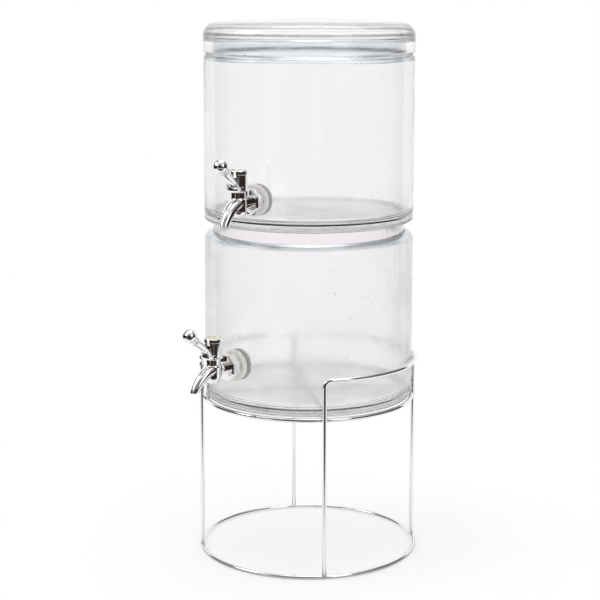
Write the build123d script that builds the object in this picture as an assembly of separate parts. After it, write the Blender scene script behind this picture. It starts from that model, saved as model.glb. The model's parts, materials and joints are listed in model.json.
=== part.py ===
from build123d import *
from math import atan2, cos, degrees, hypot, radians, sin, sqrt
import os

# Two-tier beverage dispenser: two glass jars, each with a lever tap, stacked on a wire stand
# under a glass lid. Millimetres, +Z up. The origin is the centre of the base ring on the table,
# and the stand's open quarter, where the lower tap comes out, faces -Y.

# Glass jar, heights from its foot
jar_r = 109.75          # outside of the wall
jar_h = 190.1           # foot to rim
wall = 4.5
floor_t = 7.0           # thick pressed floor
neck_in = 9.35          # wall to the outside of the mouth
neck_h = 14.5           # shoulder to rim
shoulder_fillet = 1.2   # where the neck rises from the shoulder
lip_round = 1.5
foot_h = 8.5            # height of the groove over the foot
groove_depth = 1.1
foot_inset = 0.5        # foot bead inside the wall's line
heel_round = 4.0
inner_round = 5.0       # inside corners of the floor and the shoulder
stack_depth = 2.6       # recess under the foot that drops over the rim below
stack_play = 0.8        # radial play of a rim in that recess

# Glass lid
lid_top_t = 18.8        # solid slab over the mouth, at its middle
lid_dome_r = 1150.0     # gentle dome of the top
lid_overhang = 0.3      # lid edge past the jar's wall
lid_top_round = 14.0
skirt_t = 4.0
skirt_fillet = 4.5      # inside corner between slab and skirt
skirt_gap = 0.4         # skirt's end to the jar's shoulder

# Wire stand
wire_d = 4.5
rail_play = 2.0         # jar wall to guard rail
support_z = 166.0       # support ring's wire centre
rail_z = 208.0          # guard rail's wire centre
rail_bend_r = 7.0       # bend where the rail turns down into a leg
weld_sink = 1.0         # how far a butt-welded end sinks into the other wire
weld_set = 0.3          # how far side-by-side wires sink together
dip_half = 22.0         # half length of the joggle where one bar passes under the other
dip_bend_r = 6.0

# Taps, heights from their own shank's axis
lower_tap_h = 48.4      # shank's axis over the jar's foot
upper_tap_h = 31.9
lower_tap_turn = -6.0   # turn from -Y about +Z, degrees
upper_tap_turn = 7.5
shank_r = 8.0
shank_play = 0.25       # shank in the glass hole
bore_r = 4.0
washer_r = 16.0
outer_washer_t = 4.2
inner_washer_t = 2.5
nut_af = 24.0           # inside nut across its flats
nut_t = 6.0
shank_end = 2.5         # thread showing past the nut
flange_r = 13.2
flange_t = 1.0
collar_af = 26.0        # eight-sided collar across its flats
collar_l = 11.0
collar_chamfer = 1.2
arm_r = 6.4             # arm from the collar to the bowl
reach = 31.0            # jar wall to the barrel's axis
bowl_r = 8.6            # rounded bowl under the barrel
bowl_top = 4.6
bowl_bottom = -14.0
bowl_round = 7.6
waist_r = 7.6
waist_bottom = 5.8
barrel_bottom = 12.2
barrel_r = 9.0
barrel_bore_r = 7.4
bead_r = 9.8           # bead round the barrel's foot
bead_h = 1.6
barrel_top = 30.2
lug_w = 13.4            # two lugs that carry the lever's pin
lug_out = 10.4          # barrel's axis to the lugs' front
lug_tip_out = 1.0       # lugs' tips past their foot
lug_tip_z = 20.6
slot_bridge = 2.4       # barrel wall over the lever's slot
seat_z = 0.0            # valve seat
seat_t = 1.6            # web that the seat is on
seat_hole_r = 2.8
chamber_r = 5.0         # over the seat
well_r = 6.0            # under the seat
well_bottom = -9.5
inlet_wall = 3.4        # shank's bore to the chamber
feed_r = 2.0            # passage from the shank's bore to the well
feed_z = -3.6
stem_r = 2.0
stem_play = 0.3
spout_out = 27.0        # barrel's axis to the end of the spout's curve
spout_down = 20.5
spout_mouth_z = -18.5   # level cut of the mouth
spout_lead = 13.0       # how far the spout runs level out of the bowl
spout_root_z = 1.0
spout_root_w = 16.4     # oval where it leaves the bowl
spout_root_t = 12.0
spout_tip_r = 4.3
spout_bore_r = 2.4
spout_bore_z = 2.9

# Tap cap
cap_r = 9.7
cap_skirt = 1.4         # overlap of the cap over the barrel's rim
cap_rim_t = 1.2         # barrel wall left inside the cap's skirt
cap_h = 3.0             # cap above the barrel's rim
cap_plate_t = 1.0
dish_r = 8.1
insert_t = 1.3
insert_dish = 0.8       # depth of the insert's shallow dish

# Tap lever, drawn at mid stroke and then tipped up to rest
pivot_out = 5.0         # barrel's axis to the lever's pin
pivot_z = 17.0
pin_r = 1.25
pin_play = 0.06
hub_r = 2.7
lever_w = 9.0
lever_play = 0.4        # lever to the sides of its slot
lever_stroke = 28.0     # degrees from rest to fully pressed
handle_rise = 26.0      # handle above level at mid stroke, degrees
handle_root_t = 4.4
handle_waist_w = 9.2
handle_waist_t = 7.2
handle_waist_s = 14.0   # pin to the handle's waist
handle_l = 42.0         # pin to the end of the knob
neck_end_r = 4.8        # handle where it meets the knob
knob_r = 7.4
knob_l = 16.0
knob_dome = 7.2         # domed end of the knob
knob_seam = 0.8         # groove between handle and knob
knob_seam_depth = 0.6
prong_w = 2.1
nose_r = 1.2            # rounded nose on each prong's end
nose_in = 5.2           # pin to the noses, toward the barrel's axis

# Plunger and its spring
nose_gap = 0.3          # noses to the plunger's disc
hub_gap = 0.35          # lever's hub to the plunger's disc at rest
disc_r = 4.6
disc_t = 1.5
cup_r = 4.2
cup_h = 2.6
cup_socket = 1.2        # rubber under the stem's end
cup_gap = 0.35          # lifted cup to the chamber's roof
stem_end_gap = 1.5      # lifted stem to the cap
spring_wire_d = 0.8
spring_r = 3.6
spring_turns = 5.0
spring_gap = 0.05

# Sizes that follow from the ones above
wire_r = wire_d / 2
ring_r = jar_r + rail_play + wire_r                 # base ring, rail and legs, wire centres
support_r = ring_r - wire_d + weld_set              # inside the legs
inner_r = jar_r - wall
neck_r = jar_r - neck_in
shoulder_round = neck_in - shoulder_fillet - 0.05
inner_neck_r = neck_r - wall
shoulder_z = jar_h - neck_h
recess_r = neck_r + stack_play
lid_r = jar_r + lid_overhang
lower_foot_z = support_z + wire_r                   # jar stands on the bars' tops
upper_foot_z = lower_foot_z + jar_h - stack_depth
lid_seat_z = upper_foot_z + jar_h
barrel_x = jar_r + reach
flange_x = jar_r + outer_washer_t
collar_x = flange_x + flange_t
nut_face_x = sqrt(inner_r ** 2 - washer_r ** 2) - inner_washer_t
shank_x = nut_face_x - nut_t - shank_end
pivot_x = barrel_x + pivot_out
half_stroke = lever_stroke / 2
plunger_lift = 2 * nose_in * sin(radians(half_stroke))
disc_z = pivot_z + hub_r + hub_gap                  # underside of the plunger's disc at rest
chamber_top = seat_z + cup_h + plunger_lift + cup_gap
rear_leg_angles = {"leg_right": 45, "leg_left": 135}
rail_leg_angles = (-45, 225)


def turned(corners):
    """Revolve a closed outline of (radius, height, corner radius) points about Z."""
    points = [(r, 0, z) for r, z, _ in corners]
    outline = FilletPolyline(*points, radius=[c for _, _, c in corners], close=True)
    return revolve(make_face(outline), axis=Axis.Z)


def turned_on_x(corners):
    """Revolve a closed outline of (x, radius, corner radius) points about X."""
    points = [(x, 0, r) for x, r, _ in corners]
    outline = FilletPolyline(*points, radius=[c for _, _, c in corners], close=True)
    return revolve(make_face(outline), axis=Axis.X)


def rod(start, end, radius):
    """Round rod from one point to another."""
    run = Vector(*end) - Vector(*start)
    return extrude(Plane(origin=start, z_dir=run) * Circle(radius), run.length)


def wire_along(path):
    """Stand wire swept along a path."""
    return sweep(Plane(origin=path @ 0, z_dir=path % 0) * Circle(wire_r), path=path)


def on_ring(angle, height, radius=ring_r):
    """Point at an angle from +X on a circle round the stand's axis."""
    return (radius * cos(radians(angle)), radius * sin(radians(angle)), height)


# ---- wire stand ----

def wire_ring(radius, height):
    return Pos(0, 0, height) * Torus(radius, wire_r)


def guard_rail(base_ring, support_ring):
    """Rail round three quarters of the jar, its two ends bent down as the front legs."""
    corner_angle = degrees(atan2(rail_bend_r, ring_r))
    leg_r = hypot(ring_r, rail_bend_r)
    leg_start = wire_d - weld_sink
    first, last = rail_leg_angles
    rail_start = on_ring(first + corner_angle, rail_z)
    rail_end = on_ring(last - corner_angle, rail_z)
    bend_start = on_ring(first, rail_z - rail_bend_r, leg_r)
    bend_end = on_ring(last, rail_z - rail_bend_r, leg_r)
    path = Wire([
        Line(on_ring(first, leg_start, leg_r), bend_start),
        TangentArc(bend_start, rail_start, tangent=(0, 0, 1)),
        ThreePointArc(rail_start, on_ring((first + last) / 2, rail_z), rail_end),
        TangentArc(rail_end, bend_end, tangent=(0, 0, -1), tangent_from_first=False),
        Line(bend_end, on_ring(last, leg_start, leg_r)),
    ])
    return wire_along(path) - base_ring - support_ring


def rear_leg(angle, base_ring, support_ring, rail):
    """Straight leg from the base ring up to the underside of the rail."""
    top = rail_z - wire_r + weld_sink
    leg = rod(on_ring(angle, wire_d - weld_sink), on_ring(angle, top), wire_r)
    return leg - base_ring - support_ring - rail


def cross_bar(angle, support_ring, joggled):
    """Bar across the support ring; the joggled one dips under the straight one."""
    end = support_r - wire_r + weld_sink
    if joggled:
        points = [(-end, 0, 0), (-dip_half, 0, 0), (-dip_half / 2, 0, -wire_d),
                  (dip_half / 2, 0, -wire_d), (dip_half, 0, 0), (end, 0, 0)]
        bar = wire_along(FilletPolyline(*points, radius=dip_bend_r))
    else:
        bar = rod((-end, 0, 0), (end, 0, 0), wire_r)
    return Pos(0, 0, support_z) * Rot(0, 0, angle) * bar - support_ring


def stand():
    base_ring = wire_ring(ring_r, wire_r)
    support_ring = wire_ring(support_r, support_z)
    rail = guard_rail(base_ring, support_ring)
    pieces = {"base_ring": base_ring, "support_ring": support_ring, "guard_rail": rail}
    for name, angle in rear_leg_angles.items():
        pieces[name] = rear_leg(angle, base_ring, support_ring, rail)
    pieces["cross_bar_straight"] = cross_bar(rear_leg_angles["leg_right"], support_ring, joggled=False)
    pieces["cross_bar_joggled"] = cross_bar(rear_leg_angles["leg_left"], support_ring, joggled=True)
    return pieces


# ---- glass ----

def jar(tap_h, turn):
    """Pressed jar standing on its foot at z = 0, with the tap's hole through its wall."""
    foot_r = jar_r - foot_inset
    glass = turned([
        (0, stack_depth, 0),
        (recess_r, stack_depth, 0),
        (recess_r, 0, 0),
        (foot_r, 0, heel_round),
        (foot_r, foot_h - groove_depth, 0),
        (foot_r - groove_depth, foot_h, 0),
        (jar_r, foot_h + 2 * groove_depth, 0),
        (jar_r, shoulder_z, shoulder_round),
        (neck_r, shoulder_z, shoulder_fillet),
        (neck_r, jar_h, lip_round),
        (inner_neck_r, jar_h, lip_round),
        (inner_neck_r, shoulder_z - wall, 0),
        (inner_r, shoulder_z - wall, inner_round),
        (inner_r, stack_depth + floor_t, inner_round),
        (0, stack_depth + floor_t, 0),
    ])
    hole = rod((inner_r / 2, 0, 0), (jar_r + wall, 0, 0), shank_r + shank_play)
    return glass - at_tap(tap_h, turn) * hole


def lid():
    """Flat-topped lid whose slab rests on the rim at z = 0, with a skirt round the neck."""
    skirt_r = lid_r - skirt_t
    end_r = skirt_t / 2
    side = skirt_r + end_r - (jar_r - shoulder_round)
    over_shoulder = sqrt((shoulder_round + end_r + skirt_gap) ** 2 - side ** 2)
    skirt_z = -neck_h - shoulder_round + over_shoulder - end_r
    glass = turned([
        (0, 0, 0),
        (skirt_r, 0, skirt_fillet),
        (skirt_r, skirt_z, end_r * 0.98),
        (lid_r, skirt_z, end_r * 0.98),
        (lid_r, lid_top_t, 0),
        (0, lid_top_t, 0),
    ])
    glass &= Pos(0, 0, lid_top_t - lid_dome_r) * Sphere(lid_dome_r)
    top_edge = glass.edges().filter_by(GeomType.CIRCLE).filter_by(lambda e: abs(e.radius - lid_r) < 0.01)
    return fillet(top_edge.sort_by(Axis.Z)[-1], lid_top_round)


# ---- tap: X runs out from the jar's axis along the shank ----

def at_tap(height, turn):
    """Place of a tap's own frame on a jar that stands at z = 0."""
    return Pos(0, 0, height) * Rot(0, 0, turn - 90)


def spout_path(start_z):
    """Line out of the bowl and down through the spout's mouth."""
    end_x = barrel_x + spout_out
    bend = spout_down * 0.45
    return Bezier((barrel_x, 0, start_z), (barrel_x + spout_lead, 0, start_z - 0.4),
                  (end_x - bend * 0.45, 0, bend - spout_down), (end_x, 0, -spout_down))


def spout():
    """Curved spout, oval where it leaves the bowl and round at its level mouth."""
    path = spout_path(spout_root_z)
    root = Plane(origin=path @ 0, x_dir=(0, 1, 0), z_dir=path % 0) * Ellipse(spout_root_w / 2, spout_root_t / 2)
    tip = Plane(origin=path @ 1, x_dir=(0, 1, 0), z_dir=path % 1) * Circle(spout_tip_r)
    horn = sweep([root, tip], path=path, multisection=True)
    below = Pos(barrel_x + spout_out, 0, spout_mouth_z) * Box(
        spout_out, spout_out, spout_down, align=(Align.CENTER, Align.CENTER, Align.MAX))
    return horn - below


def spout_bore():
    path = spout_path(spout_bore_z)
    return sweep(Plane(origin=path @ 0, z_dir=path % 0) * Circle(spout_bore_r), path=path)


def lugs():
    """Block on the barrel's front that the lever's slot splits into two lugs."""
    foot_z = barrel_bottom + bead_h
    side = Polyline((0, barrel_bottom), (lug_out - bead_h / 2, barrel_bottom), (lug_out, foot_z),
                    (lug_out + lug_tip_out, lug_tip_z), (barrel_r - 0.5, pivot_z), (0, pivot_z), close=True)
    block = extrude(Plane.XZ * make_face(side), lug_w / 2, both=True)
    return Pos(barrel_x, 0, 0) * block


def lever_slot():
    """Slot through the barrel's front and between the lugs."""
    bottom = pivot_z - hub_r - lever_play
    top = barrel_top - cap_skirt - slot_bridge
    return Pos(barrel_x, 0, bottom) * Box(2 * lug_out, lever_w + 2 * lever_play, top - bottom,
                                          align=(Align.MIN, Align.CENTER, Align.MIN))


def tap_body():
    """Threaded shank, flange, collar, arm, bowl, barrel and spout, moulded in one."""
    shank = turned_on_x([
        (shank_x, 0, 0),
        (shank_x, shank_r, 1.0),
        (flange_x, shank_r, 0),
        (flange_x, flange_r, 0.6),
        (collar_x, flange_r, 0.8),
        (collar_x, arm_r, 0),
        (barrel_x, arm_r, 0),
        (barrel_x, 0, 0),
    ])
    octagon = Rot(0, 0, 22.5) * RegularPolygon(collar_af / 2, 8, major_radius=False)
    collar = extrude(Plane(origin=(collar_x, 0, 0), z_dir=(1, 0, 0)) * octagon, collar_l)
    collar = chamfer(collar.faces().sort_by(Axis.X)[-1].edges(), collar_chamfer)
    rim_r = barrel_bore_r + cap_rim_t
    barrel = Pos(barrel_x, 0, 0) * turned([
        (0, bowl_bottom, 0),
        (bowl_r, bowl_bottom, bowl_round),
        (bowl_r, bowl_top, 2.0),
        (waist_r, waist_bottom, 1.0),
        (waist_r, barrel_bottom, 0.8),
        (bead_r, barrel_bottom, 0.7),
        (bead_r, barrel_bottom + bead_h, 0.4),
        (barrel_r, barrel_bottom + bead_h, 0),
        (barrel_r, barrel_top - cap_skirt, 0),
        (rim_r, barrel_top - cap_skirt, 0),
        (rim_r, barrel_top, 0),
        (0, barrel_top, 0),
    ])
    body = shank + collar + barrel + lugs() + spout()
    return body - water_ways() - lever_slot() - lever_pin(barrel_r)


def water_ways():
    """From the shank down to the well, up through the seat and out along the spout."""
    barrel_floor = barrel_bottom + bead_h
    inlet_end = barrel_x - chamber_r - inlet_wall
    return [
        rod((shank_x, 0, 0), (inlet_end, 0, 0), bore_r),
        rod((inlet_end - 1, 0, feed_z), (barrel_x, 0, feed_z), feed_r),
        upright(well_bottom, seat_z - seat_t, well_r),
        upright(seat_z - seat_t, seat_z, seat_hole_r),
        upright(seat_z, chamber_top, chamber_r),
        upright(chamber_top, barrel_floor, stem_r + stem_play),
        upright(barrel_floor, barrel_top, barrel_bore_r),
        spout_bore(),
    ]


def lever_pin(half_l):
    return rod((pivot_x, -half_l, pivot_z), (pivot_x, half_l, pivot_z), pin_r)


def upright(bottom, top, radius):
    """Cylinder on the barrel's axis between two heights."""
    return rod((barrel_x, 0, bottom), (barrel_x, 0, top), radius)


def washers_and_nut():
    """Outer and inner rubber washers, shaped to the round wall, and the nut inside the jar."""
    shank_hole = rod((shank_x, 0, 0), (collar_x, 0, 0), shank_r)
    outer = rod((inner_r, 0, 0), (flange_x, 0, 0), washer_r) - Cylinder(jar_r, 4 * washer_r)
    inner = rod((nut_face_x, 0, 0), (jar_r, 0, 0), washer_r) & Cylinder(inner_r, 4 * washer_r)
    hexagon = RegularPolygon(nut_af / 2, 6, major_radius=False)
    nut = extrude(Plane(origin=(nut_face_x, 0, 0), z_dir=(-1, 0, 0)) * hexagon, nut_t)
    nut = chamfer(nut.faces().sort_by(Axis.X)[0].edges(), 0.8)
    return {"washer_outer": outer - shank_hole, "washer_inner": inner - shank_hole,
            "nut": nut - shank_hole}


def tap_cap():
    """Screwed cap over the barrel, with a dished recess for its insert."""
    rim_r = barrel_bore_r + cap_rim_t
    top = barrel_top + cap_h
    return Pos(barrel_x, 0, 0) * turned([
        (0, barrel_top, 0),
        (rim_r, barrel_top, 0),
        (rim_r, barrel_top - cap_skirt, 0),
        (cap_r, barrel_top - cap_skirt, 0.5),
        (cap_r, top, 1.2),
        (dish_r, top, 0.5),
        (dish_r, barrel_top + cap_plate_t, 0),
        (0, barrel_top + cap_plate_t, 0),
    ])


def cap_insert():
    """Pale disc with a shallow dish, pressed into the cap's recess."""
    seat = barrel_top + cap_plate_t
    return Pos(barrel_x, 0, 0) * turned([
        (0, seat, 0),
        (dish_r, seat, 0),
        (dish_r, seat + insert_t, 0.3),
        (dish_r * 0.8, seat + insert_t, 0.6),
        (0, seat + insert_t - insert_dish, 0),
    ])


def lever():
    """Handle with a bulb, a hub on the pin and two prongs that lift the plunger."""
    hub = rod((0, -lever_w / 2, 0), (0, lever_w / 2, 0), hub_r)
    dip = radians(half_stroke)
    rest_height = disc_z - nose_gap - nose_r - pivot_z
    nose_z = (rest_height + nose_in * sin(dip)) / cos(dip)
    gap_w = 2 * (stem_r + stem_play)
    side = make_hull(Circle(hub_r).edges() + (Pos(-nose_in, nose_z) * Circle(nose_r)).edges())
    fork = extrude(Plane.XZ * side, gap_w / 2 + prong_w, both=True)
    stem_gap = Pos(-hub_r * 0.65, 0, 0) * Box(2 * nose_in, gap_w, 2 * handle_l,
                                              align=(Align.MAX, Align.CENTER, Align.CENTER))
    knob_start = handle_l - knob_l
    sections = [
        handle_section(0, lever_w, handle_root_t),
        handle_section(handle_waist_s, handle_waist_w, handle_waist_t),
        handle_section(knob_start - knob_seam, 2 * neck_end_r, 2 * neck_end_r),
    ]
    knob = turned_on_x([
        (knob_start - 2 * knob_seam, 0, 0),
        (knob_start - 2 * knob_seam, neck_end_r - knob_seam_depth, 0),
        (knob_start, neck_end_r - knob_seam_depth, 0),
        (knob_start, neck_end_r, 0.3),
        (handle_l - knob_dome, knob_r, knob_dome * 0.3),
        (handle_l, knob_r, knob_dome * 0.9),
        (handle_l, 0, 0),
    ])
    handle = Rot(0, -handle_rise, 0) * (loft(sections) + knob)
    pin_hole = rod((0, -lever_w, 0), (0, lever_w, 0), pin_r + pin_play)
    at_mid_stroke = hub + (fork - stem_gap) + handle - pin_hole
    return Pos(pivot_x, 0, pivot_z) * Rot(0, -half_stroke, 0) * at_mid_stroke


def handle_section(distance, width, thickness):
    return Plane(origin=(distance, 0, 0), x_dir=(0, 1, 0), z_dir=(1, 0, 0)) * Ellipse(width / 2, thickness / 2)


def plunger():
    """Valve stem with the disc that the prongs lift."""
    bottom = seat_z + cup_socket
    top = barrel_top - plunger_lift - stem_end_gap
    return Pos(barrel_x, 0, 0) * turned([
        (0, bottom, 0),
        (stem_r, bottom, 0),
        (stem_r, disc_z, 0),
        (disc_r, disc_z, 0.3),
        (disc_r, disc_z + disc_t, 0.3),
        (stem_r, disc_z + disc_t, 0),
        (stem_r, top, 0.6),
        (0, top, 0),
    ])


def seat_cup():
    """Soft cup on the stem's end that closes the outlet."""
    bottom = seat_z + cup_socket
    return Pos(barrel_x, 0, 0) * turned([
        (0, seat_z, 0),
        (cup_r, seat_z, 0.4),
        (cup_r * 0.8, seat_z + cup_h, 0.5),
        (stem_r, seat_z + cup_h, 0),
        (stem_r, bottom, 0),
        (0, bottom, 0),
    ])


def spring():
    """Return spring between the plunger's disc and the cap."""
    clear = spring_wire_d / 2 + spring_gap
    bottom = disc_z + disc_t + clear
    height = barrel_top - clear - bottom
    coil = Helix(pitch=height / spring_turns, height=height, radius=spring_r)
    section = Plane(origin=coil @ 0, z_dir=coil % 0) * Circle(spring_wire_d / 2)
    return Pos(barrel_x, 0, bottom) * sweep(section, path=coil, is_frenet=True)


def tap():
    """Every piece of one tap, in the tap's own frame."""
    pieces = {
        "tap_body": tap_body(),
        "cap": tap_cap(),
        "cap_insert": cap_insert(),
        "lever": lever(),
        "lever_pin": lever_pin(sqrt(barrel_r ** 2 - (pivot_out + pin_r) ** 2) - 0.2),
        "plunger": plunger(),
        "seat_cup": seat_cup(),
        "spring": spring(),
    }
    pieces.update(washers_and_nut())
    return pieces


def tier(level, foot_z, tap_h, turn, tap_pieces):
    """One jar with its tap, at its height in the stack."""
    pieces = {f"{level}_jar": Pos(0, 0, foot_z) * jar(tap_h, turn)}
    for name, piece in tap_pieces.items():
        pieces[f"{level}_{name}"] = Pos(0, 0, foot_z) * at_tap(tap_h, turn) * piece
    return pieces


def dispenser():
    tap_pieces = tap()
    pieces = stand()
    pieces.update(tier("lower", lower_foot_z, lower_tap_h, lower_tap_turn, tap_pieces))
    pieces.update(tier("upper", upper_foot_z, upper_tap_h, upper_tap_turn, tap_pieces))
    pieces["lid"] = Pos(0, 0, lid_seat_z) * lid()
    return pieces


os.makedirs("parts", exist_ok=True)
for node, solid in dispenser().items():
    export_step(solid, f"parts/{node}.step")
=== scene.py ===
import json
import random
from math import cos, pi, radians, sin

import bpy
from mathutils import Euler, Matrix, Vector


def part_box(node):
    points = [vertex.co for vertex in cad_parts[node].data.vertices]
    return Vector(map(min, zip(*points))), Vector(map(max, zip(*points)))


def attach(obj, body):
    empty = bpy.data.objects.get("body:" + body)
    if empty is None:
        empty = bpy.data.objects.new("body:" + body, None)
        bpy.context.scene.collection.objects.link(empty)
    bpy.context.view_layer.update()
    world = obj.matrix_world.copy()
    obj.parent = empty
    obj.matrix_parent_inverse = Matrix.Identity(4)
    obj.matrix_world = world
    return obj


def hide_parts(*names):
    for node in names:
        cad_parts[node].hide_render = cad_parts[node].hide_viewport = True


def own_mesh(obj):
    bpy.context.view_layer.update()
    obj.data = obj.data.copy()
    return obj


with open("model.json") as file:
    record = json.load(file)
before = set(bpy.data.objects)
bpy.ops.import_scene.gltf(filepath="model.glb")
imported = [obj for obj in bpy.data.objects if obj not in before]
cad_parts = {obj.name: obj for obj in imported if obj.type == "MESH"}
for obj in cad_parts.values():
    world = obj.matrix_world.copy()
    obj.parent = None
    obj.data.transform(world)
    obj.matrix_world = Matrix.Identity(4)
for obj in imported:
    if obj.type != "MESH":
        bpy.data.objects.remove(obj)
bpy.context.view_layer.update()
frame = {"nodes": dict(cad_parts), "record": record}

MM = 0.001
TIERS = ("lower", "upper")

# The camera looks at the stand from its right, a little downwards.
VIEW_TURN = radians(36.7)
VIEW_DOWN = radians(9.41)
VIEW_TILT = radians(0.15)
VIEW_DISTANCE = 1.6602
VIEW_HEIGHT = 0.595

# The studio. Directions are parts of a unit vector: toward the camera, across to its right, and up.
# The dark opening's colour, which the floor also uses for the painted contact shade round the base ring.
DARK_OPENING_AND_SHADE = (0.030, 0.022, 0.018, 1.0)
OPENING_SIDE = (-0.62, -0.48)
OPENING_RISE = (-0.36, 0.42)
UPPER_SIDE = (-0.80, -0.50)
UPPER_RISE = (0.42, 0.82)
UPPER_SHARE = 0.72
OPENING_EDGE = 0.05
MIDDLE_STRIP = (0.13, 0.21, 0.03)
SIDE_STRIP = (-0.72, -0.62, 0.04)
CLEARED_BY_GLASS = 0.90
DIFFUSE_LIGHT = 0.82
LIGHT_BOUNCES = 32
MIRROR_BOUNCES = 8

# The table top, and where it mirrors the opening: a wedge in front. It also has painted shade: a narrow
# dark ring by the base ring, seen only in reflections, for the base ring's contact shadow on the floor.
FLOOR_R = 1.0
FLOOR_FADE = (0.14, 0.35)
WEDGE_FADE = (0.14, 0.50)
WEDGE_SLOPE = 0.45
SHADE_RING_WIDTH = 16.0 * MM
SHADE_RING_EDGE = 4.0 * MM

# The stand
JAR_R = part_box("upper_jar")[1].x
WIRE_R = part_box("base_ring")[1].z / 2
RING_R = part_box("base_ring")[1].x - WIRE_R
STAND_WIRES = ("base_ring", "support_ring", "guard_rail", "leg_right", "leg_left",
               "cross_bar_straight", "cross_bar_joggled")
LEG_TURNS = {"front_left": 225, "front_right": 315, "back_left": 135, "back_right": 45}
WELD_DEPTH = 2.4 * MM
WELD_SWELL = 1.22

# The glass. Heights are above each jar's foot.
GLASS_HAZE = {"lower": 0.20, "upper": 0.10, "lid": 0.10}
GLASS_RIPPLE = {"jar": 0.5, "lid": 0.12}
HEEL_GREEN = (0.78, 0.83, 0.79)
HEEL_FADE = (4.0 * MM, 11.0 * MM)
# Painted shade at the neck: the lower jar's neck is painted a darker pink and the upper jar's a darker
# blue.
NECK_SHADES = {"lower": (0.96, 0.90, 0.94), "upper": (0.86, 0.92, 0.96)}
NECK_FADE = (170.0 * MM, 180.0 * MM)
# Painted shade at the shoulder: a bluish dark band.
SHOULDER_SHADE = (0.66, 0.84, 0.90)
SHOULDER_BAND = (170.0 * MM, 175.0 * MM, 1.5 * MM)
PIPS = 236
PIP_R = 1.15 * MM
PIP_DEPTH = 1.2 * MM
PIP_HEIGHT = 2.9 * MM
SEEDS = {"lower": 190, "upper": 24}
SEED_DEPTH = 2.2 * MM
SEED_LOWEST = 14.0
SEED_SPREAD = 150.0
TAP_CLEARANCE = 18.0 * MM

# The return springs
SPRING_WIRE_R = 0.4 * MM
SPRING_R = 3.6 * MM
SPRING_TURNS = 5
SPRING_STEPS = 28


# ---- Finishes: one class for sums on sockets, one for the nodes

class Value:
    """A number, colour or vector that a node gives. Sums and products on it add Math nodes."""

    def __init__(self, finish, socket):
        self.finish = finish
        self.socket = socket

    def sum(self, operation, first, second):
        return self.finish.node("ShaderNodeMath", {"operation": operation}, {0: first, 1: second})["Value"]

    def __add__(self, other):
        return self.sum("ADD", self, other)

    def __radd__(self, other):
        return self.sum("ADD", other, self)

    def __sub__(self, other):
        return self.sum("SUBTRACT", self, other)

    def __rsub__(self, other):
        return self.sum("SUBTRACT", other, self)

    def __mul__(self, other):
        return self.sum("MULTIPLY", self, other)

    def __rmul__(self, other):
        return self.sum("MULTIPLY", other, self)

    def __pow__(self, other):
        return self.sum("POWER", self, other)


class Finish:
    """A tree of nodes: a material's, or the world's."""

    def __init__(self, owner):
        owner.use_nodes = True
        self.owner = owner
        self.tree = owner.node_tree
        self.tree.nodes.clear()

    def node(self, kind, settings=None, inputs=None):
        """Adds a node, sets it, feeds its sockets and gives its live outputs by name."""
        made = self.tree.nodes.new(kind)
        for name, setting in (settings or {}).items():
            setattr(made, name, setting)
        for name, given in (inputs or {}).items():
            if isinstance(given, Value):
                self.tree.links.new(given.socket, made.inputs[name])
            else:
                made.inputs[name].default_value = given
        return {out.name: Value(self, out) for out in made.outputs if out.enabled}

    def place(self):
        return self.node("ShaderNodeTexCoord")["Object"]

    def split(self, vector):
        return self.node("ShaderNodeSeparateXYZ", None, {"Vector": vector})

    def noise(self, scale, detail=2.0, roughness=0.5):
        return self.node("ShaderNodeTexNoise", None, {
            "Vector": self.place(), "Scale": scale, "Detail": detail, "Roughness": roughness})["Fac"]

    def step(self, value, start, end, low=0.0, high=1.0):
        """Eases from low to high as the value goes from start to end."""
        return self.node("ShaderNodeMapRange", {"interpolation_type": "SMOOTHSTEP"}, {
            "Value": value, "From Min": start, "From Max": end, "To Min": low, "To Max": high})["Result"]

    def band(self, value, low, high, edge):
        """One between low and high, easing to nothing over the edge on each side."""
        rising = self.step(value, low - edge, low + edge)
        return rising * self.step(value, high - edge, high + edge, 1.0, 0.0)

    def mix(self, factor, first, second):
        return self.node("ShaderNodeMix", {"data_type": "RGBA"}, {0: factor, 6: first, 7: second})["Result"]

    def bump(self, height, strength, distance):
        return self.node("ShaderNodeBump", None, {
            "Height": height, "Strength": strength, "Distance": distance})["Normal"]


def material(name):
    return Finish(bpy.data.materials.new(name))


def surface(finish, **inputs):
    """Ends a material in one Principled shader and gives the material."""
    named = {key.replace("_", " "): given for key, given in inputs.items()}
    shader = finish.node("ShaderNodeBsdfPrincipled", None, named)["BSDF"]
    finish.node("ShaderNodeOutputMaterial", None, {"Surface": shader})
    return finish.owner


def rgb(red, green, blue):
    return (red, green, blue, 1.0)


# ---- Camera, studio and floor

def camera():
    made = bpy.data.cameras.new("camera")
    made.lens = 95.48
    made.sensor_width = 36.0
    made.shift_x = -0.01457
    made.shift_y = -0.08
    made.clip_start = 0.1
    made.clip_end = 100.0
    spot = bpy.data.objects.new("camera", made)
    spot.location = (VIEW_DISTANCE * sin(VIEW_TURN), -VIEW_DISTANCE * cos(VIEW_TURN), VIEW_HEIGHT)
    spot.rotation_euler = Euler((pi / 2 - VIEW_DOWN, 0, VIEW_TURN))
    spot.rotation_euler.rotate_axis("Z", VIEW_TILT)
    bpy.context.scene.collection.objects.link(spot)
    bpy.context.scene.camera = spot


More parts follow.
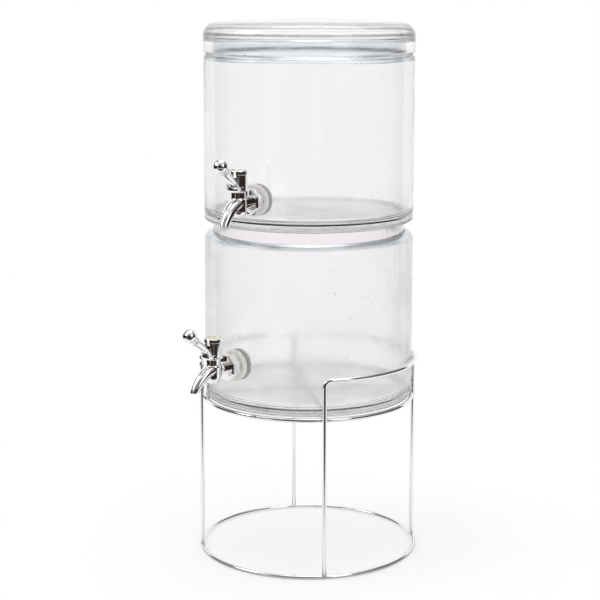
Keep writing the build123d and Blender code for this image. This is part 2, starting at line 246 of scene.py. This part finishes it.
def studio_world():
    """A white studio with a dark opening in front, and strips of light in it.

    Only metal and glass show the opening, and glass shows little of it.
    """
    world = bpy.data.worlds.new("studio")
    bpy.context.scene.world = world
    sky = Finish(world)
    way = sky.split(sky.node("ShaderNodeTexCoord")["Generated"])
    east = way["X"]
    north = way["Y"]
    up = way["Z"]
    toward = east * sin(VIEW_TURN) - north * cos(VIEW_TURN)
    across = east * cos(VIEW_TURN) + north * sin(VIEW_TURN)
    opening = sky.step(toward, *OPENING_SIDE) * sky.band(up, *OPENING_RISE, OPENING_EDGE)
    above = sky.step(toward, *UPPER_SIDE) * sky.band(up, *UPPER_RISE, OPENING_EDGE) * UPPER_SHARE
    strips = sky.band(across, *MIDDLE_STRIP) * 0.25 + sky.band(across, *SIDE_STRIP) * 0.5
    dark = (opening + above) * (1.0 - strips)
    ray = sky.node("ShaderNodeLightPath")
    seen = ray["Is Camera Ray"]
    through = ray["Is Transmission Ray"]
    bright = 1.0 - (1.0 - ray["Is Glossy Ray"]) * (1.0 - through)
    colour = sky.mix(dark * bright * (1.0 - through * CLEARED_BY_GLASS), rgb(1, 1, 1), DARK_OPENING_AND_SHADE)
    strength = seen + bright + (1.0 - seen) * (1.0 - bright) * DIFFUSE_LIGHT
    shade = sky.node("ShaderNodeBackground", None, {"Color": colour, "Strength": strength})["Background"]
    sky.node("ShaderNodeOutputWorld", None, {"Surface": shade})


def soft_lamp(name, place, size, power):
    made = bpy.data.lights.new(name, "AREA")
    made.shape = "RECTANGLE"
    made.size = size[0]
    made.size_y = size[1]
    made.energy = power
    lamp = bpy.data.objects.new(name, made)
    lamp.location = place
    lamp.rotation_euler = (Vector(place) - Vector((0, 0, 0.3))).to_track_quat("Z", "Y").to_euler()
    bpy.context.scene.collection.objects.link(lamp)


def floor():
    """A pale table top that fades into the white studio, with the dark opening mirrored in front, and
    painted shade in a narrow ring round the base ring that reflections show as its contact shadow.
    """
    bpy.ops.mesh.primitive_circle_add(vertices=96, radius=FLOOR_R, fill_type="NGON", location=(0, 0, 0))
    ground = bpy.context.object
    ground.name = "floor"
    paint = material("pale floor")
    spot = paint.split(paint.place())
    outward = (spot["X"] * spot["X"] + spot["Y"] * spot["Y"]) ** 0.5
    ray = paint.node("ShaderNodeLightPath")
    glossy = ray["Is Glossy Ray"]
    through = ray["Is Transmission Ray"]
    shown = 1.0 - (1.0 - ray["Is Camera Ray"]) * (1.0 - glossy) * (1.0 - through)
    lit = paint.node("ShaderNodeBsdfDiffuse", None, {"Color": rgb(0.92, 0.92, 0.92)})["BSDF"]
    front = spot["X"] * sin(VIEW_TURN) - spot["Y"] * cos(VIEW_TURN)
    side = spot["X"] * cos(VIEW_TURN) + spot["Y"] * sin(VIEW_TURN)
    wedge = paint.step(front - (side * side) ** 0.5 * WEDGE_SLOPE, *WEDGE_FADE)
    # Painted shade: a dark ring just outside the base ring, seen only in reflections, stands in for the
    # base ring's contact shadow on the floor.
    contact_shade_ring = paint.band(outward, RING_R + WIRE_R, RING_R + SHADE_RING_WIDTH, SHADE_RING_EDGE)
    mirrored = (wedge + contact_shade_ring * (1.0 - wedge)) * glossy * (1.0 - through)
    glow = paint.mix(mirrored, rgb(1, 1, 1), DARK_OPENING_AND_SHADE)
    white = paint.node("ShaderNodeEmission", None, {"Color": glow, "Strength": 1.0})["Emission"]
    both = paint.node("ShaderNodeMixShader", None, {
        0: shown * paint.step(outward, *FLOOR_FADE, 0.6, 1.0), 1: lit, 2: white})["Shader"]
    paint.node("ShaderNodeOutputMaterial", None, {"Surface": both})
    ground.data.materials.append(paint.owner)


# ---- Small pieces that the glass and the wire carry

def at(radius, angle, height):
    return Vector((radius * cos(angle), radius * sin(angle), height))


def finish_piece(name, body, finish):
    """Names the active object, sets its place into its mesh and hangs it on its body."""
    piece = bpy.context.object
    piece.name = name
    bpy.ops.object.transform_apply(location=True, rotation=True, scale=True)
    bpy.ops.object.shade_smooth()
    piece.data.materials.clear()
    piece.data.materials.append(finish)
    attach(piece, body)
    bpy.ops.object.select_all(action="DESELECT")
    return piece


def heel_stipple(tier, foot_z, glass):
    """A row of low pips pressed round the heel, one modelled and the rest spun from it."""
    spot = at(JAR_R - PIP_DEPTH, 0.0, foot_z + PIP_HEIGHT)
    bpy.ops.mesh.primitive_uv_sphere_add(segments=8, ring_count=5, radius=PIP_R, location=spot)
    bpy.context.object.scale = (0.8, 0.85, 1.1)
    bpy.ops.object.transform_apply(location=True, rotation=True, scale=True)
    bpy.ops.object.mode_set(mode="EDIT")
    bpy.ops.mesh.select_all(action="SELECT")
    bpy.ops.mesh.spin(steps=PIPS - 1, dupli=True, angle=2 * pi * (PIPS - 1) / PIPS,
                      center=(0, 0, 0), axis=(0, 0, 1))
    bpy.ops.mesh.select_all(action="SELECT")
    bpy.ops.mesh.normals_make_consistent(inside=False)
    bpy.ops.object.mode_set(mode="OBJECT")
    finish_piece(f"{tier}_heel_stipple", f"{tier}_jar", glass)


def glass_seeds(tier, foot_z, skin):
    """Fine air bubbles in the wall, most of them low down and a cloud of them on the right.

    There are none by the tap's hole.
    """
    chance = random.Random(f"{tier} seeds")
    low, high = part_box(f"{tier}_washer_outer")
    pieces = []
    while len(pieces) < SEEDS[tier]:
        if len(pieces) % 3 == 0:
            turn, rise = chance.gauss(-0.1, 0.35), chance.uniform(0.25, 1.0)
        else:
            turn, rise = chance.uniform(0.0, 2 * pi), chance.uniform(0.0, 1.0) ** 1.5
        size = 0.26 + 0.36 * chance.uniform(0.0, 1.0) ** 2
        tall = chance.uniform(1.0, 1.9)
        spot = at(JAR_R - SEED_DEPTH, turn, foot_z + (SEED_LOWEST + SEED_SPREAD * rise) * MM)
        if (spot - (low + high) / 2).length < TAP_CLEARANCE:
            continue
        bpy.ops.mesh.primitive_ico_sphere_add(subdivisions=2, radius=size * MM, location=spot)
        bpy.context.object.scale = (1.0, 1.0, tall)
        pieces.append(bpy.context.object)
    for piece in pieces:
        piece.select_set(True)
    bpy.context.view_layer.objects.active = pieces[0]
    bpy.ops.object.join()
    finish_piece(f"{tier}_seeds", f"{tier}_jar", skin)


def return_spring(tier, wire):
    """The tap's coil, its top end held under the cap and its bottom end resting on the plunger."""
    low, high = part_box(f"{tier}_spring")
    length = high.z - low.z - 2 * SPRING_WIRE_R
    middle = (low + high) / 2
    foot = Vector((middle.x, middle.y, low.z + SPRING_WIRE_R))
    bpy.ops.mesh.primitive_circle_add(vertices=10, radius=SPRING_WIRE_R, location=foot,
                                      rotation=(pi / 2, 0, 0))
    bpy.ops.object.transform_apply(location=False, rotation=True, scale=True)
    bpy.ops.object.mode_set(mode="EDIT")
    bpy.ops.mesh.select_all(action="SELECT")
    bpy.ops.transform.translate(value=(SPRING_R, 0, 0))
    bpy.ops.object.mode_set(mode="OBJECT")
    coil = bpy.context.object.modifiers.new("coil", "SCREW")
    coil.steps = SPRING_STEPS
    coil.render_steps = SPRING_STEPS
    coil.iterations = SPRING_TURNS
    coil.screw_offset = length / SPRING_TURNS
    bpy.ops.object.modifier_apply(modifier=coil.name)
    bpy.ops.object.mode_set(mode="EDIT")
    bpy.ops.mesh.select_all(action="SELECT")
    bpy.ops.mesh.remove_doubles(threshold=0.001 * MM)
    bpy.ops.mesh.fill_holes(sides=0)
    bpy.ops.mesh.normals_make_consistent(inside=False)
    bpy.ops.object.mode_set(mode="OBJECT")
    piece = finish_piece(f"{tier}_return_spring", f"{tier}_jar", wire)
    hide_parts(f"{tier}_spring")
    lift = next(joint["range_m"][1] for joint in frame["record"]["behaviour"]["joints"]
                if joint["name"] == f"{tier}_plunger_lift")
    1.0 - lift / (high.z - low.z)
    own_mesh(piece)


def weld(name, spot, axis, plate):
    """A little collar of weld where one wire meets another, fullest in its middle."""
    bpy.ops.mesh.primitive_cylinder_add(vertices=24, radius=WIRE_R * 1.02, depth=WELD_DEPTH,
                                        location=spot,
                                        rotation=axis.to_track_quat("Z", "Y").to_euler())
    bpy.ops.object.transform_apply(location=False, rotation=True, scale=True)
    bpy.ops.object.mode_set(mode="EDIT")
    bpy.ops.mesh.select_all(action="SELECT")
    bpy.ops.mesh.bisect(plane_co=spot, plane_no=axis)
    swell = [1.0 if abs(part) > 0.5 else WELD_SWELL for part in axis]
    bpy.ops.transform.resize(value=swell, center_override=spot)
    bpy.ops.object.mode_set(mode="OBJECT")
    ring = bpy.context.object.modifiers.new("round", "SUBSURF")
    ring.levels = 2
    ring.render_levels = 2
    bpy.ops.object.modifier_apply(modifier=ring.name)
    finish_piece(name, "stand", plate)


# ---- Finishes of the pieces

def pressed_glass(name, body, edge, haze, ripple, foot_z=None, neck=None):
    """Clear pressed glass: faint waves, a thin haze and a cool tint edge-on.

    A jar, which has a foot, is also green in its thick heel. Its colour also holds painted shade: a bluish
    dark band at the shoulder and a darker tinted band at the neck.
    """
    glass = material(name)
    waves = glass.noise(14.0, 1.0, 0.4) * 0.85 + glass.noise(70.0, 1.0, 0.4) * 0.15
    rim = glass.node("ShaderNodeLayerWeight", None, {"Blend": 0.5})["Facing"]
    tint = glass.mix(rim ** 4.0, rgb(*body), rgb(*edge))
    if foot_z is not None:
        height = glass.split(glass.place())["Z"] - foot_z
        tint = glass.mix(glass.step(height, *HEEL_FADE, 0.5, 0.0), tint, rgb(*HEEL_GREEN))
        # Painted shade in the glass's colour: a darker tinted band at the neck and a bluish dark band at
        # the shoulder.
        tint = glass.mix(glass.step(height, *NECK_FADE, 0.0, 0.6), tint, rgb(*neck))
        tint = glass.mix(glass.band(height, *SHOULDER_BAND) * 0.5, tint, rgb(*SHOULDER_SHADE))
    cloud = glass.step(glass.noise(30.0, 3.0, 0.6), 0.35, 0.7, haze * 0.6, haze)
    return surface(glass, Base_Color=tint, Roughness=cloud, IOR=1.5,
                   Transmission_Weight=1.0, Normal=glass.bump(waves, ripple, 1.0 * MM))


def seed_glass(name):
    """The skin of an air bubble in glass."""
    skin = material(name)
    tint = skin.mix(skin.noise(200.0), rgb(0.97, 0.98, 0.97), rgb(0.92, 0.94, 0.93))
    return surface(skin, Base_Color=tint, Roughness=0.0, IOR=0.667, Transmission_Weight=1.0)


def chrome(name, colour, roughness):
    """Bright plating with faint handling haze and the least orange peel."""
    plate = material(name)
    haze = plate.noise(90.0, 3.0, 0.6)
    rough = plate.step(haze, 0.45, 0.75, roughness, roughness + 0.08)
    tint = plate.mix(plate.noise(25.0), rgb(*colour), rgb(*(0.93 * part for part in colour)))
    return surface(plate, Base_Color=tint, Metallic=1.0, Roughness=rough,
                   Normal=plate.bump(plate.noise(700.0, 1.0), 0.05, 0.1 * MM))


def satin_plastic(name, colour, deeper, roughness):
    """Moulded plastic with a fine grain."""
    moulded = material(name)
    tint = moulded.mix(moulded.noise(400.0, 3.0, 0.6), rgb(*colour), rgb(*deeper))
    return surface(moulded, Base_Color=tint, Roughness=roughness, Specular_IOR_Level=0.5,
                   Normal=moulded.bump(moulded.noise(2500.0), 0.15, 0.05 * MM))


def silicone(name, colour, deeper):
    """Milky, half clear rubber."""
    rubber = material(name)
    tint = rubber.mix(rubber.noise(150.0, 3.0, 0.6), rgb(*colour), rgb(*deeper))
    return surface(rubber, Base_Color=tint, Roughness=0.4, IOR=1.41, Transmission_Weight=0.2,
                   Normal=rubber.bump(rubber.noise(1200.0), 0.2, 0.05 * MM))


def stainless(name):
    """Drawn steel wire."""
    steel = material(name)
    grain = steel.noise(900.0, 3.0, 0.6)
    return surface(steel, Base_Color=rgb(0.66, 0.66, 0.67), Metallic=1.0,
                   Roughness=steel.step(grain, 0.3, 0.7, 0.18, 0.32),
                   Normal=steel.bump(grain, 0.1, 0.05 * MM))


def dress(names, finish):
    """Gives CAD nodes their finish."""
    for name in names:
        for slot in frame["nodes"][name].material_slots:
            slot.material = finish


scene = bpy.context.scene
scene.view_settings.view_transform = "Standard"
scene.cycles.max_bounces = LIGHT_BOUNCES
scene.cycles.transmission_bounces = LIGHT_BOUNCES
scene.cycles.glossy_bounces = MIRROR_BOUNCES
camera()
studio_world()
soft_lamp("key", (-1.3, -1.5, 1.9), (1.2, 1.2), 14.0)
soft_lamp("fill", (1.9, -0.6, 1.2), (0.8, 1.6), 6.0)
soft_lamp("top", (0, 0.2, 2.2), (1.4, 1.4), 9.0)
bpy.ops.object.select_all(action="DESELECT")
floor()

wire_plate = chrome("chromed wire", (0.88, 0.88, 0.89), 0.05)
dress(STAND_WIRES, wire_plate)
for corner, turn in LEG_TURNS.items():
    foot = at(RING_R, radians(turn), 2 * WIRE_R + 0.3 * MM)
    weld(f"weld_{corner}", foot, Vector((0, 0, 1)), wire_plate)
dress(["lid"], pressed_glass("lid glass", (1.0, 0.994, 0.997), (1.0, 1.0, 1.0),
                             GLASS_HAZE["lid"], GLASS_RIPPLE["lid"]))
tap_chrome = chrome("tap chrome", (0.93, 0.92, 0.92), 0.03)
steel = stainless("stainless wire")
seed_skin = seed_glass("seeds in the glass")
for tier in TIERS:
    foot_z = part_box(f"{tier}_jar")[0].z
    glass = pressed_glass(f"{tier} jar glass", (0.978, 0.971, 0.976), (0.60, 0.62, 0.65),
                          GLASS_HAZE[tier], GLASS_RIPPLE["jar"], foot_z, NECK_SHADES[tier])
    dress([f"{tier}_jar"], glass)
    heel_stipple(tier, foot_z, glass)
    glass_seeds(tier, foot_z, seed_skin)
    dress([f"{tier}_{name}" for name in ("tap_body", "cap", "lever", "nut")], tap_chrome)
    dress([f"{tier}_lever_pin", f"{tier}_spring"], steel)
    return_spring(tier, steel)
dress(["lower_cap_insert"],
      satin_plastic("lower cap insert", (0.83, 0.84, 0.62), (0.70, 0.71, 0.50), 0.4))
dress(["upper_cap_insert"],
      satin_plastic("upper cap insert", (0.72, 0.74, 0.62), (0.58, 0.60, 0.50), 0.4))
dress([f"{tier}_plunger" for tier in TIERS],
      satin_plastic("plunger nylon", (0.86, 0.86, 0.82), (0.80, 0.80, 0.76), 0.35))
for tier, colour, deeper in (("lower", (1.0, 0.985, 0.93), (0.97, 0.95, 0.88)),
                             ("upper", (1.0, 0.975, 0.97), (0.97, 0.94, 0.93))):
    dress([f"{tier}_{name}" for name in ("washer_outer", "washer_inner", "seat_cup")],
          silicone(f"{tier} silicone", colour, deeper))
